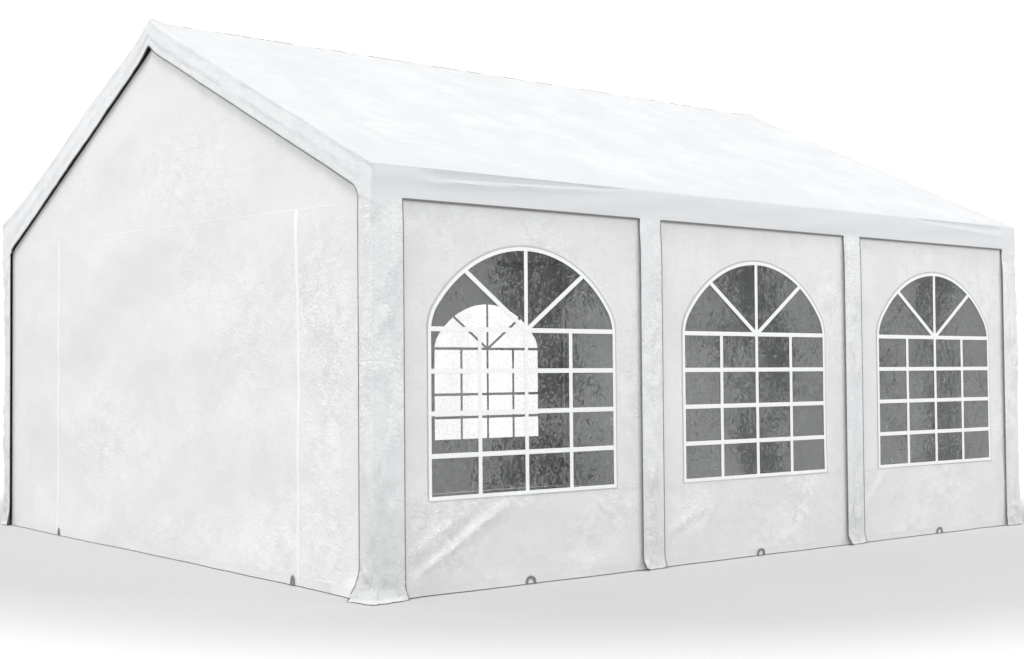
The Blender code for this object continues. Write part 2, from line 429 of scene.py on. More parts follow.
def welt(path, radii):
    """A round cord along a line in space."""
    ahead = unit(np.gradient(path, axis=0))
    across = unit(np.cross(ahead, (0.3, 0.5, 0.8)))
    return tube(path, radii, across, np.cross(ahead, across))


def joined(parts):
    """Several lots of points and faces as one."""
    points = []
    faces = []
    for part_points, part_faces in parts:
        first = len(points)
        points += [tuple(p) for p in part_points]
        faces += [tuple(first + k for k in face) for face in part_faces]
    return points, faces


def make_bands(name, material, *shapes, slot="wall"):
    """One piece of one or more bands or bolts, with crisp edges."""
    return make_piece(name, *joined(shapes), material, slot, crisp=True)


def hung_sheet(name, node, outline, holes, cell, place, crumple, cloth):
    """A sheet of cloth, cut flat and hung in the place of one node of the frame."""
    flat, faces = cut_sheet(outline, holes, cell)
    sheet = make_piece(name, place(flat), faces, cloth, "wall", SHEET_THICKNESS, crumple(*flat.T))
    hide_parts(node)
    return sheet


# Materials

# White of the creases: partly stress whitening, partly painted glints
CREST_WHITE_AND_GLINT = (0.99, 0.99, 0.99)
# Grey of the painted shade on the cloth's inner faces
INNER_SHADE_GREY = (0.57, 0.575, 0.58)
# Grey of the painted shade near the ground
GROUND_SHADE_GREY = (0.58, 0.582, 0.585)
BAY_SPACING = 1.95


def fill(node, inputs):
    """Sets a node's inputs, and links those for which another node's output is given."""
    for key, value in inputs.items():
        if isinstance(value, bpy.types.NodeSocket):
            node.id_data.links.new(value, node.inputs[key])
        else:
            node.inputs[key].default_value = value


def add_node(tree, kind, inputs=(), **settings):
    node = tree.nodes.new("ShaderNode" + kind)
    for key, value in settings.items():
        setattr(node, key, value)
    fill(node, dict(inputs))
    return node


class Painter:
    """Builds a material's nodes; most calls add one node and return its output."""

    def __init__(self, name, colour, roughness, **looks):
        self.material = bpy.data.materials.new(name)
        self.material.use_nodes = True
        self.tree = self.material.node_tree
        self.shader = self.tree.nodes["Principled BSDF"]
        self.colour = (*colour, 1.0)
        self.look("Base Color", self.colour)
        self.look("Roughness", roughness)
        fill(self.shader, looks)
        spots = self.add("TexCoord")
        self.place = spots.outputs["Object"]
        self.facing = spots.outputs["Normal"]

    def add(self, kind, inputs=(), **settings):
        return add_node(self.tree, kind, inputs, **settings)

    def look(self, key, value):
        fill(self.shader, {key: value})

    def math(self, operation, *values):
        return self.add("Math", enumerate(values), operation=operation).outputs[0]

    def noise(self, scale, detail=3.0, roughness=0.5, distortion=0.0, stretch=(1.0, 1.0, 1.0)):
        place = self.add("Mapping", {"Vector": self.place, "Scale": stretch}).outputs[0]
        inputs = {"Vector": place, "Scale": scale, "Detail": detail, "Roughness": roughness}
        return self.add("TexNoise", {**inputs, "Distortion": distortion}).outputs["Fac"]

    def along(self, axis):
        return self.add("SeparateXYZ", {0: self.place}).outputs[axis]

    def inner_side(self):
        """1 on the faces that look into the tent and 0 on the outer ones."""
        away = self.add("VectorMath", {0: self.place, 1: TENT_MIDDLE}, operation="SUBTRACT").outputs[0]
        outwards = self.add("VectorMath", {0: away, 1: self.facing}, operation="DOT_PRODUCT")
        return self.span(outwards.outputs["Value"], -0.05, 0.05, 1.0, 0.0)

    def ridged(self, value):
        """Turns a soft noise into sharp creases."""
        return self.math("ABSOLUTE", self.math("SUBTRACT", value, 0.5))

    def weave(self, pitch, axes="XYZ"):
        """Fine ridges across these axes, this far apart in metres."""
        total = 0.0
        for axis in axes:
            inputs = {"Vector": self.place, "Scale": 2 * math.pi / (20 * pitch)}
            ridges = self.add("TexWave", inputs, wave_type="BANDS", bands_direction=axis)
            total = self.math("ADD", total, ridges.outputs["Fac"])
        return total

    def span(self, value, low, high, to_low=0.0, to_high=1.0):
        """A smooth change from one number to another while a value goes from low to high."""
        inputs = {"Value": value, "From Min": low, "From Max": high, "To Min": to_low, "To Max": to_high}
        return self.add("MapRange", inputs, interpolation_type="SMOOTHSTEP").outputs[0]

    def tint(self, factor, other):
        """Mixes the base colour, with what is already on it, with another by a factor."""
        inputs = {0: factor, 6: self.colour, 7: (*other, 1.0)}
        self.colour = self.add("Mix", inputs, data_type="RGBA").outputs[2]
        self.look("Base Color", self.colour)

    def bump(self, height, distance):
        self.look("Normal", self.add("Bump", {"Height": height, "Distance": distance}).outputs[0])


def coated_sheet(name, colour, shade, calm, shade_heights, ground_shade=0.0):
    """Woven and coated white sheet: crinkled where the mesh says so, with whitened creases.

    The whitening of the creases is partly painted glints. The sheet is darker between two heights,
    by an amount at each, and close to the ground, both as painted shade, and its inner side is
    painted grey as shade inside the tent.
    """
    paint = Painter(name, colour, 0.4)
    height = paint.along("Z")
    marked = paint.add("Attribute", attribute_name="crumple").outputs["Fac"]
    amount = paint.math("ADD", marked, calm)
    coarse = paint.ridged(paint.noise(15.0, 3.0, 0.55, 1.0))
    fine = paint.ridged(paint.noise(44.0, 3.0, 0.6, 1.2, (0.7, 0.7, 1.3)))
    crinkle = paint.math("MULTIPLY", paint.math("MULTIPLY_ADD", fine, 0.6, coarse), amount)
    streaks = paint.noise(70.0, 2.0, stretch=(0.12, 0.12, 1.0))
    streaks = paint.math("ADD", streaks, paint.noise(70.0, 2.0, stretch=(1.0, 1.0, 0.10)))
    relief = paint.math("MULTIPLY_ADD", paint.weave(0.0028), 0.004, crinkle)
    paint.bump(paint.math("MULTIPLY_ADD", streaks, 0.014, relief), 0.015)
    uneven = paint.math("MULTIPLY_ADD", streaks, 0.35, paint.noise(2.3, 5.0, 0.6))
    # Random uneven tone, plus painted shade between the two heights
    paint.tint(paint.math("ADD", paint.span(uneven, 0.62, 1.0), paint.span(height, *shade_heights)), shade)
    # Whitened crests where crinkled, in patches: partly stress whitening, partly painted glints
    crest_glints = paint.span(fine, 0.0, 0.065, 1.0, 0.5)
    glint_patches = paint.span(paint.noise(7.0, 3.0, 0.6, 0.6), 0.40, 0.56, 0.35, 1.0)
    paint.tint(paint.math("MULTIPLY", paint.math("MULTIPLY", crest_glints, glint_patches), amount), CREST_WHITE_AND_GLINT)
    # Painted shade near the ground, above a lighter lip at the hem
    above_lip = paint.span(height, 0.008, 0.030)
    ground_shade_band = paint.math("MULTIPLY", above_lip, paint.span(height, 0.04, 1.0, 1.0, 0.0))
    paint.tint(paint.math("MULTIPLY", ground_shade_band, ground_shade), GROUND_SHADE_GREY)
    # The inner faces are painted grey: painted shade inside the tent
    paint.tint(paint.inner_side(), INNER_SHADE_GREY)
    paint.look("Roughness", paint.span(amount, 0.0, 1.0, 0.46, 0.25))
    return paint.material


def window_film():
    """Clear flexible film: a faint haze, partly painted reflection, broken by a ragged clear band
    up each window, and specks that are painted glints.
    """
    paint = Painter("clear_film", (0.90, 0.905, 0.91), 0.09, Alpha=0.1, IOR=1.46)
    across = paint.math("WRAP", paint.along("X"), BAY_SPACING / 2, -BAY_SPACING / 2)
    off_band = paint.math("ABSOLUTE", paint.math("SUBTRACT", across, 0.06))
    band = paint.span(off_band, 0.10, 0.42, 1.0, 0.0)
    ragged = paint.noise(42.0, 3.0, 0.62, 1.8, (1.0, 1.0, 0.75))
    loose = paint.noise(2.6, 2.0, 0.5, 0.4)
    score = paint.math("MULTIPLY_ADD", band, 0.30, paint.math("MULTIPLY_ADD", ragged, 2.1, loose))
    ripple = paint.ridged(paint.noise(20.0, 3.0, 0.6, 2.2, (1.0, 1.0, 0.8)))
    small = paint.noise(52.0, 3.0, 0.6, 1.0)
    glint_specks = paint.span(paint.noise(34.0, 2.0, 0.5, 1.5), 0.68, 0.76)
    # The haze over the dark inside is painted reflection, with ripples and specks as painted glints
    haze_and_reflection = paint.span(score, 1.73, 1.83, 0.080, -0.015)
    for layer, strength in ((ripple, 0.30), (small, 0.05), (glint_specks, 0.16)):
        haze_and_reflection = paint.math("MULTIPLY_ADD", layer, strength, haze_and_reflection)
    paint.look("Alpha", paint.math("MAXIMUM", haze_and_reflection, 0.004))
    paint.bump(paint.math("MULTIPLY_ADD", small, 0.35, ripple), 0.010)
    paint.tint(paint.noise(5.0, 4.0), (0.86, 0.865, 0.87))
    return paint.material


def welded_white():
    """White bars, hems and zips: smooth welded tape with a faint grain."""
    paint = Painter("white_tape", (0.955, 0.96, 0.965), 0.36)
    paint.bump(paint.noise(120.0), 0.0005)
    paint.tint(paint.noise(14.0), (0.92, 0.925, 0.93))
    return paint.material


def dark_gap_shade():
    """Near-black strips on the walls behind the cover's edges: painted shade in the gaps, with a woven
    bump.
    """
    paint = Painter("edge_gap_shade", (0.020, 0.021, 0.022), 0.7)
    paint.bump(paint.weave(0.0016), 0.0004)
    paint.tint(paint.noise(80.0), (0.035, 0.036, 0.038))
    return paint.material


def dark_welt_shade():
    """Dark grey coated welt along the cover's edges: its darkness is painted shade of the edge."""
    paint = Painter("edge_welt_shade", (0.13, 0.135, 0.14), 0.5)
    paint.bump(paint.noise(150.0), 0.0005)
    paint.tint(paint.noise(6.0, 4.0), (0.24, 0.245, 0.25))
    return paint.material


def shaded_ridge_seam():
    """The sewn ridge seam: white thread in uneven lengths over a grey line that is painted shade along
    the ridge.
    """
    paint = Painter("shaded_ridge_seam", (0.36, 0.365, 0.37), 0.6)
    paint.bump(paint.noise(180.0, 2.0), 0.0005)
    paint.tint(paint.span(paint.noise(4.5, 2.0), 0.46, 0.58), (0.88, 0.88, 0.88))
    return paint.material


def weld_shade_line():
    """The thin grey weld line round each window: its grey is partly painted shadow of the raised border.
    """
    paint = Painter("weld_shade_grey", (0.52, 0.525, 0.53), 0.5)
    paint.bump(paint.noise(200.0, 2.0), 0.0004)
    paint.tint(paint.noise(60.0), (0.60, 0.605, 0.61))
    return paint.material


def dark_webbing():
    """Grey woven ties at the hem."""
    paint = Painter("tie_webbing", (0.20, 0.22, 0.25), 0.75)
    paint.bump(paint.weave(0.0016, "XZ"), 0.0005)
    paint.tint(paint.noise(90.0), (0.30, 0.32, 0.35))
    return paint.material


def galvanised():
    """Galvanised steel: dull, with a spangle and faint streaks."""
    paint = Painter("galvanised_tube", (0.56, 0.57, 0.58), 0.4, Metallic=1.0)
    spangle = paint.add("TexVoronoi", {"Vector": paint.place, "Scale": 110.0}).outputs["Distance"]
    streaks = paint.noise(9.0, 4.0, 0.6, stretch=(1.0, 1.0, 0.3))
    blend = paint.math("MULTIPLY_ADD", spangle, 0.8, streaks)
    paint.tint(paint.span(blend, 0.4, 1.2), (0.66, 0.67, 0.68))
    paint.look("Roughness", paint.span(blend, 0.3, 1.3, 0.32, 0.55))
    paint.bump(paint.noise(240.0, 2.0), 0.0003)
    return paint.material


def pale_floor():
    """The floor near the tent, which fades away further out so that no horizon shows."""
    paint = Painter("pale_floor", (0.62, 0.62, 0.62), 0.85)
    paint.tint(paint.noise(0.6), (0.60, 0.60, 0.60))
    paint.bump(paint.noise(30.0), 0.001)
    distance = paint.add("VectorMath", {0: paint.place}, operation="LENGTH").outputs["Value"]
    clear = paint.add("BsdfTransparent").outputs[0]
    mix = {0: paint.span(distance, *FLOOR_FADE), 1: paint.shader.outputs[0], 2: clear}
    fill(paint.tree.nodes["Material Output"], {"Surface": paint.add("MixShader", mix).outputs[0]})
    return paint.material


# The roof cover: one sewn sheet with its valances, gable edges and leg strips


def stations(*lots):
    """Numbers from one or more lots, in order and each only once."""
    return np.unique(np.round(np.concatenate(lots), 6))


def mirrored(*lots):
    half = stations(*lots)
    return stations(-half, half)


def run(low, high, cell, fold_low=False, fold_high=False):
    """Stations from low to high, closer together where the sheet turns round an edge."""
    first = [low + step for step in FOLD_STEPS] if fold_low else [low]
    last = [high - step for step in reversed(FOLD_STEPS)] if fold_high else [high]
    count = max(1, round((last[0] - first[-1]) / cell))
    return stations([low], first, np.linspace(first[-1], last[0], count + 1), last, [high])


def patch(columns, rows, place, keep=None):
    """A grid of points with a face in each cell of the columns that are kept."""
    across, down = np.meshgrid(columns, rows)
    width = len(columns)
    faces = []
    for j, middle in enumerate((columns[:-1] + columns[1:]) / 2):
        if keep is None or keep(middle):
            corners = [i * width + j for i in range(len(rows) - 1)]
            faces += [(a, a + 1, a + width + 1, a + width) for a in corners]
    return place(across.ravel(), down.ravel()), faces


def trim_drop(y):
    """How far the cover hangs below its edge over a gable."""
    share = np.clip((np.abs(y) - GABLE_INNER) / CORNER_GABLE, 0, 1)
    return TRIM_DROP + share * (VALANCE_DROP - TRIM_DROP)


def trim_foot(y):
    return roof_height(y) - trim_drop(y)


def cover_shape():
    """The cover before its edges are rounded: welded points and faces."""
    columns = mirrored(
        run(0.0, STRIP_IN, ROOF_CELL),
        run(STRIP_IN, STRIP_OUT, STRIP_CELL),
        run(STRIP_OUT, CORNER_START, ROOF_CELL),
        run(CORNER_START, HALF_LENGTH, STRIP_CELL, fold_high=True),
    )
    bend = GABLE_INNER / PITCH_COS
    slopes = stations(
        run(0.0, bend, ROOF_CELL, fold_low=True), run(bend, SLOPE_LENGTH, STRIP_CELL, fold_high=True)
    )
    across = mirrored(slopes * PITCH_COS)
    skirt_rows = run(0.0, VALANCE_DROP, STRIP_CELL, fold_low=True) / VALANCE_DROP
    drop = VALANCE_FOOT - HEM
    foot = drop - FOOT_HEIGHT
    strip_rows = stations(
        run(0.0, STRIP_HEAD, STRIP_CELL), run(STRIP_HEAD, foot, STRIP_ROW), run(foot, drop, FOOT_ROW)
    ) / drop

    def over_leg(x):
        return STRIP_IN < abs(x) < STRIP_OUT or abs(x) > CORNER_START

    def at_corner(y):
        return abs(y) > GABLE_INNER

    parts = []
    for _, side in SIDES:
        y = side * HALF_WIDTH
        run_y = side * PITCH_COS
        parts += [
            patch(columns, slopes, lambda x, t: points_at(x, t * run_y, RIDGE - t * PITCH_SIN)),
            patch(columns, skirt_rows, lambda x, t: points_at(x, y, EAVE - t * VALANCE_DROP)),
            patch(columns, strip_rows, lambda x, t: points_at(x, y, VALANCE_FOOT - t * drop), over_leg),
        ]
    for _, end in ENDS:
        x = end * HALF_LENGTH

        def trim(y, t):
            return points_at(x, y, roof_height(y) - t * trim_drop(y))

        def strip(y, t):
            return points_at(x, y, trim_foot(y) - t * (trim_foot(y) - HEM))

        parts += [patch(across, skirt_rows, trim), patch(across, strip_rows, strip, at_corner)]
    points, faces = (np.array(each) for each in joined(parts))
    _, first, number = np.unique(points.round(4), axis=0, return_index=True, return_inverse=True)
    faces = number.ravel()[faces]
    whole = [len(set(face)) == 4 for face in faces.tolist()]
    return only_used(points[first], faces[whole])


def round_inner_corners(points):
    """Rounds the corners of the gable openings, where the edge turns down to the corner strips."""
    x, y, z = points.T

    def near(distance):
        within = 1 - np.clip(distance / INNER_CORNER_REACH, 0, 1)
        return within**2 * (1 - np.clip(-distance / INNER_CORNER_FADE, 0, 1))

    pull = INNER_CORNER_CUT * near(GABLE_INNER - np.abs(y)) * near(trim_foot(y) - z)
    pull *= (np.abs(x) > HALF_LENGTH - 1e-4) & (z < trim_foot(GABLE_INNER) + 0.12)
    return points - points_at(0.0, np.sign(y) * pull, pull)


def rounded_edges(points):
    """The same points with the house shape's edges rounded, and the direction away from it."""
    planes = [(0.0, side, 0.0, HALF_WIDTH) for _, side in SIDES]
    planes += [(end, 0.0, 0.0, HALF_LENGTH) for _, end in ENDS]
    planes += [(0.0, side * PITCH_SIN, PITCH_COS, RIDGE * PITCH_COS) for _, side in SIDES]
    inner = points.copy()
    steps = np.zeros((len(planes), *points.shape))
    for _ in range(ROUNDING_PASSES):
        for k, (*normal, limit) in enumerate(planes):
            start = inner + steps[k]
            over = np.maximum(start @ np.array(normal) - (limit - FOLD_RADIUS), 0)
            inner = start - np.outer(over, normal)
            steps[k] = start - inner
    away = unit(points - inner)
    return inner + FOLD_RADIUS * away, away


def roof_sag(points):
    """The roof dips a little between its rafters."""
    x, y, _ = points.T
    depth = np.zeros(len(points))
    for low, high in zip(LEG_X, LEG_X[1:]):
        depth += np.sin(math.pi * np.clip((x - low) / (high - low), 0, 1)) ** 1.2
    down = np.clip(np.abs(y) / HALF_WIDTH, 0, 1)
    return -0.020 * depth * np.sin(math.pi * down) ** 0.7


def roof_folds(points):
    """Long soft folds that fan out from the gables, and a pucker near the front left eave."""
    x, y, _ = points.T
    fan = waves(points, 11, 0.30, 0.85, stretch=(5.0, 1.0, 1.0))
    slack = waves(points, 12, 0.5, 1.4, stretch=(2.0, 1.0, 1.0))
    edge = smooth(0.0, 0.25, np.abs(y)) * smooth(HALF_WIDTH, HALF_WIDTH - 0.3, np.abs(y))
    near_rake = smooth(HALF_LENGTH - 0.5, HALF_LENGTH, np.abs(x))
    folds = (0.0040 * fan + 0.0035 * slack) * edge
    folds += 0.0045 * near_rake * waves(points, 13, 0.22, 0.6, stretch=(3.0, 1.0, 1.0))
    pucker = hump(x, -2.5, 0.16) * hump(y, -1.78, 0.26)
    folds -= 0.044 * pucker * (0.6 + np.sin((x + 0.6 * y) * 24.0))
    over_rafter = smooth(0.11, 0.035, np.min([np.abs(x - leg) for leg in LEG_X], axis=0))
    return folds * (1 - over_rafter) + 0.3 * np.maximum(folds, 0) * over_rafter


def lifted_ends(points):
    """The cover rises to a small tip at each end of the ridge, and over the back corner legs."""
    x, y, z = points.T
    from_end = HALF_LENGTH - np.abs(x)
    shoulder = smooth(1.45, 2.28, y) * 0.035
    shoulder += (smooth(0.15, 1.1, y) * 0.045 + smooth(2.10, 2.45, y) * 0.030) * (x < 0)
    below_roof = np.clip((roof_height(y) - z) / trim_drop(y), 0, 1)
    rise = 0.022 * hump(from_end, 0.0, 0.07) * hump(y, 0.0, 0.06)
    return rise + shoulder * hump(from_end, 0.0, 0.30) * (1 - below_roof)


def swollen_corner(points):
    """How far the cover stands out backwards at the top of the back left corner."""
    x, y, z = points.T
    upwards = smooth(1.80, 2.12, z) * smooth(2.62, 2.38, z)
    return 0.045 * upwards * smooth(GABLE_INNER, HALF_WIDTH, y) * hump(x, -HALF_LENGTH, 0.45)


# Long folds of the valance: the side, the ends along it, and the strength
SKIRT_FOLDS = ((-1, -2.72, -1.08, 1.0), (-1, 2.86, 1.6, 0.55), (1, 2.7, 1.1, 0.8), (1, -2.8, -1.3, 0.6))


def skirt_folds(points):
    """Folds of the valance: a long one that runs up to the roof's edge in each end bay."""
    x, y, z = points.T
    folds = np.zeros(len(points))
    for side, start, finish, size in SKIRT_FOLDS:
        share = (x - start) / (finish - start)
        body = smooth(0.0, 0.12, share) * smooth(1.05, 0.75, share) * (y * side > 0)
        crest = VALANCE_FOOT + 0.098 + 0.062 * np.clip(share, 0, 1)
        shape = 0.011 * hump(z, crest, 0.013) - 0.012 * hump(z, (crest + EAVE) / 2, 0.024)
        folds += size * body * shape
    in_valance = smooth(VALANCE_FOOT - 0.25, VALANCE_FOOT, z)
    folds += 0.0022 * in_valance * waves(points, 21, 0.10, 0.35, stretch=(6.0, 1.0, 1.0))
    return folds - 0.004 * smooth(EAVE - 0.02, VALANCE_FOOT, z) * in_valance


def trim_folds(points):
    """The cover's edge over a gable: one long fold along it and fine ones beside that."""
    x, y, z = points.T
    share = (roof_height(y) - z) / TRIM_DROP
    long_fold = hump(share, 0.52, 0.13) * (0.65 + 0.5 * waves(points, 31, 0.5, 1.5))
    hollow = hump(share, 0.24, 0.13)
    short = waves(points, 32, 0.10, 0.30, stretch=(1.0, 2.5, 2.5))
    fine = creases(points_at(x, 0.25 * np.abs(y), z + SLOPE * np.abs(y)), 33, 0.035)
    streak = hump(y, -0.35 - 0.35 * share, 0.05) * (x < 0)
    folds = 0.006 * long_fold - 0.004 * hollow + 0.0018 * short + 0.0032 * fine + 0.006 * streak
    return folds * smooth(1.7, 1.0, share)


def from_free_edge(points):
    """How far points of the strips over the legs lie inside the strip's free upright edge."""
    x, y, _ = np.abs(points.T)
    in_corner = np.where(y > HALF_WIDTH - 1e-3, x - CORNER_START, y - GABLE_INNER)
    return np.maximum(STRIP_HALF - np.abs(x - STRIP_MIDDLE), in_corner)


def strip_folds(points):
    """Soft upright folds, crumples and the hems of the strips over the legs."""
    soft = waves(points, 41, 0.07, 0.16, stretch=(1.0, 1.0, 9.0))
    crumple = creases(points, 42, 0.040, stretch=(1.0, 1.0, 3.2))
    strength = np.clip(0.6 + 0.5 * waves(points, 43, 0.3, 0.9), 0.15, 1.2)
    from_edge = from_free_edge(points)
    hem = smooth(HEM_WIDTH + 0.006, HEM_WIDTH - 0.006, from_edge)
    loose = smooth(-0.01, 0.06, from_edge)
    folds = (0.0030 * soft + 0.0120 * crumple * strength) * loose + 0.0018 * hem
    return folds * smooth(VALANCE_FOOT + 0.02, VALANCE_FOOT - 0.12, points[:, 2])


# Creases of a corner strip's foot: along the strip from the corner's edge, and up, in metres
FOOT_FOLDS = (
    ((-0.015, 0.16), (-0.045, 0.0), 0.012, -1.0),
    ((-0.060, 0.12), (-0.105, 0.0), 0.012, -0.8),
    ((0.055, 0.13), (0.075, 0.0), 0.012, -0.8),
    ((0.125, 0.10), (0.150, 0.0), 0.012, -0.6),
)


def foot_flare(points, away):
    """The strips spread out and crease at the ground, most of all at the front left corner."""
    x, y, z = points.T
    corner = (np.abs(x) > CORNER_START - 0.01) & (np.abs(y) > GABLE_INNER - 0.05)
    size = np.where((x < 0) & (y < 0), 1.0, 0.35) * corner
    on_gable = np.clip((HALF_WIDTH - np.abs(y)) / CORNER_GABLE, 0, 1)
    on_side = np.clip((HALF_LENGTH - np.abs(x)) / CORNER_SIDE, 0, 1)
    early = smooth(0.19, 0.0, z) ** 2
    late = smooth(0.10, 0.0, z) ** 2
    spread = early * on_gable + late * (1 - on_gable)
    endwards = size * spread * (0.030 + 0.028 * on_gable - 0.040 * on_side)
    sidewards = size * late * (0.028 * (1 - on_gable) - 0.022 * on_side)
    round_corner = np.where(on_gable > 1e-3, np.abs(y) - HALF_WIDTH, HALF_LENGTH - np.abs(x))
    folded = sum(crease_line(round_corner, z, *fold) for fold in FOOT_FOLDS)
    creased = creases(points, 52, 0.028, stretch=(1.0, 1.0, 5.0)) * smooth(0.22, 0.02, z) + folded
    outwards = size * (0.016 * creased + 0.006 * smooth(0.030, 0.012, z))
    across = (x - np.sign(x) * STRIP_MIDDLE) / STRIP_HALF
    edge = smooth(0.35, 1.0, -across) + 0.45 * smooth(0.6, 1.0, across)
    middle = (np.abs(x) < STRIP_OUT + 0.01) & (np.abs(y) > HALF_WIDTH - 1e-3)
    curl = smooth(0.075, 0.0, z) * middle
    sidewards += curl * (0.004 + 0.022 * edge)
    moved = points_at(np.sign(x) * endwards, np.sign(y) * sidewards, curl * 0.014 * edge)
    return moved + away * outwards[:, None]


def hang_cover(points):
    """Where points of the cover, given on its sharp house shape, really hang."""
    places, away = rounded_edges(round_inner_corners(points))
    endwards, sidewards, upwards = np.abs(away.T)
    upright = smooth(0.35, 0.1, upwards)
    offset = smooth(0.35, 0.8, upwards) * (roof_sag(points) + roof_folds(points))
    offset += smooth(0.6, 0.95, sidewards) * upright * skirt_folds(points)
    offset += smooth(0.6, 0.95, endwards) * trim_folds(points) + upright * strip_folds(points)
    hung = places + away * offset[:, None] + foot_flare(points, away)
    return hung + points_at(0.0, swollen_corner(points), lifted_ends(points))


def cover_crumple(points):
    """How strongly the cover is crinkled: least on the roof, most on the strips."""
    x, y, z = points.T
    strips = smooth(VALANCE_FOOT + 0.01, VALANCE_FOOT - 0.04, z)
    patches = smooth(-0.8, 1.2, waves(points, 61, 0.12, 0.4, stretch=(1.0, 1.0, 3.0)))
    trim = smooth(1.25, 0.95, (roof_height(y) - z) / TRIM_DROP) * (np.abs(x) > HALF_LENGTH - 1e-3)
    return strips * (0.42 + 0.58 * patches) + 0.32 * trim * (1 - strips)


def opening_edges(number):
    """Left and right edge of the opening that the cover leaves over a side panel."""
    edges = (-CORNER_START, -STRIP_OUT, -STRIP_IN, STRIP_IN, STRIP_OUT, CORNER_START)
    return edges[2 * number - 2 : 2 * number]


def opening_path(side, number):
    """The cover's free edge round a side panel, on the sharp house shape."""
    left, right = opening_edges(number)
    u, z = line((left, HEM), (left, VALANCE_FOOT), (right, VALANCE_FOOT), (right, HEM)).T
    return points_at(u, side * HALF_WIDTH, z)


def gable_opening(offset=0.0):
    """The flat path of the cover's free edge over a gable, moved outwards by an offset."""
    side_y = GABLE_INNER + offset
    rise = offset / PITCH_COS - TRIM_DROP
    corner = roof_height(side_y) + rise
    return line((-side_y, HEM), (-side_y, corner), (0.0, RIDGE + rise), (side_y, corner), (side_y, HEM))


def make_cover_edges(welt_shade, seam_shade):
    """The welts on the cover's free edges, dark as painted shade, and the seam of its ridge, grey as
    painted shade.
    """
    cords = []
    for side_name, side, number in PANELS:
        path = opening_path(side, number)
        radii = np.where(path[:, 2] > VALANCE_FOOT - 1e-6, WELT_EAVE, WELT_UPRIGHT)
        cords.append((f"cover_welt_shade_{side_name}_{number}", path, radii, welt_shade))
    for end_name, end in ENDS:
        path = points_at(end * HALF_LENGTH, *gable_opening().T)
        radii = np.where(np.abs(path[:, 1]) < GABLE_INNER - 0.01, WELT_RAKE, WELT_UPRIGHT)
        cords.append((f"cover_welt_shade_{end_name}", path, radii, welt_shade))
    ridge = line((-HALF_LENGTH, 0.0, RIDGE), (HALF_LENGTH, 0.0, RIDGE))
    cords.append(("ridge_seam", ridge, RIDGE_SEAM, seam_shade))
    return [make_piece(name, *welt(hang_cover(path), radii), material, "cover")
            for name, path, radii, material in cords]


def make_cover(cloth, welt_shade, seam_shade):
    points, faces = cover_shape()
    crumple = cover_crumple(points)
    cover = make_piece("roof_cover", hang_cover(points), faces, cloth, "cover", SHEET_THICKNESS, crumple)
    names = [f"{kind}_{side_name}" for kind in ("roof", "valance") for side_name, _ in SIDES]
    names += [f"gable_trim_{end_name}" for end_name, _ in ENDS]
    for side_name, _ in SIDES:
        names += [f"leg_cover_{side_name}_{n}" for n in (1, 2)]
        names += [f"corner_cover_{side_name}_{end_name}" for end_name, _ in ENDS]
    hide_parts(*names)
    edges = make_cover_edges(welt_shade, seam_shade)


# Walls


def crease_line(u, z, start, finish, width, height):
    """A straight fold between two points, sharp on its crest and fading at both ends."""
    along = np.subtract(finish, start)
    length = np.hypot(*along)
    along = along / length
    share = ((u - start[0]) * along[0] + (z - start[1]) * along[1]) / length
    off = ((z - start[1]) * along[0] - (u - start[0]) * along[1]) / width
    fade = smooth(-0.05, 0.25, share) * smooth(1.15, 0.65, share)
    return height * fade * np.exp(-np.abs(off) ** 1.3)


def tension_folds(u, z, low, high, seed):
    """Folds that run up from the lower corners, by which a panel is held."""
    random = np.random.default_rng(seed)
    total = np.zeros(len(u))
    for corner, way in ((low, 1), (high, -1)):
        for _ in range(4):
            angle = random.uniform(0.30, 1.15)
            reach = random.uniform(0.30, 0.70)
            first = (corner + way * 0.07, random.uniform(0.06, 0.20))
            last = (first[0] + way * reach * math.cos(angle), first[1] + reach * math.sin(angle))
            total += crease_line(u, z, first, last, 0.022, random.uniform(-0.0055, 0.0065))
    return total


def spots(u, z, places):
    """Soft round patches: each place gives a middle, a reach across, a reach up and a strength."""
    total = np.zeros(len(u))
    for middle_u, middle_z, reach_u, reach_z, strength in places:
        total += strength * hump(u, middle_u, reach_u) * hump(z, middle_z, reach_z)
    return total


# Folds and crinkled patches of the panels that the photograph shows, in metres along and up the wall;
# the crinkled patches also get whitened crests, partly painted glints
FRONT_FOLDS = (
    ((-2.82, 0.11), (-2.24, 0.45), 0.022, -0.018),
    ((-2.78, 0.08), (-2.06, 0.47), 0.016, 0.023),
    ((-2.66, 0.10), (-2.12, 0.37), 0.014, -0.015),
    ((-2.84, 0.19), (-2.42, 0.40), 0.013, 0.013),
)
FRONT_PATCHES = {
    1: ((-2.66, 0.36, 0.20, 0.16, 1.0), (-2.25, 0.47, 0.35, 0.06, 0.8), (-2.45, 0.20, 0.14, 0.10, 0.7),
        (-2.50, 1.95, 0.10, 0.22, 0.35), (-1.12, 1.40, 0.10, 0.30, 0.3)),
    2: ((0.39, 0.30, 0.14, 0.20, 1.0), (-0.64, 0.30, 0.12, 0.12, 0.5), (0.80, 1.70, 0.08, 0.35, 0.3)),
    3: ((2.05, 0.30, 0.25, 0.12, 0.5),),
}
GABLE_PATCHES = (
    (0.70, 0.75, 0.35, 0.28, 0.8),
    (-1.95, 0.25, 0.45, 0.35, 1.0),
    (-2.00, 1.50, 0.30, 0.45, 0.9),
    (-2.10, 1.10, 0.22, 0.35, 0.8),
    (-1.20, 1.45, 0.35, 0.40, 0.6),
    (-0.60, 0.15, 0.70, 0.12, 0.5),
    (-0.70, 2.40, 0.40, 0.40, 0.4),
)


def panel_seed(side, number):
    return 100 + 10 * number + (5 if side > 0 else 0)


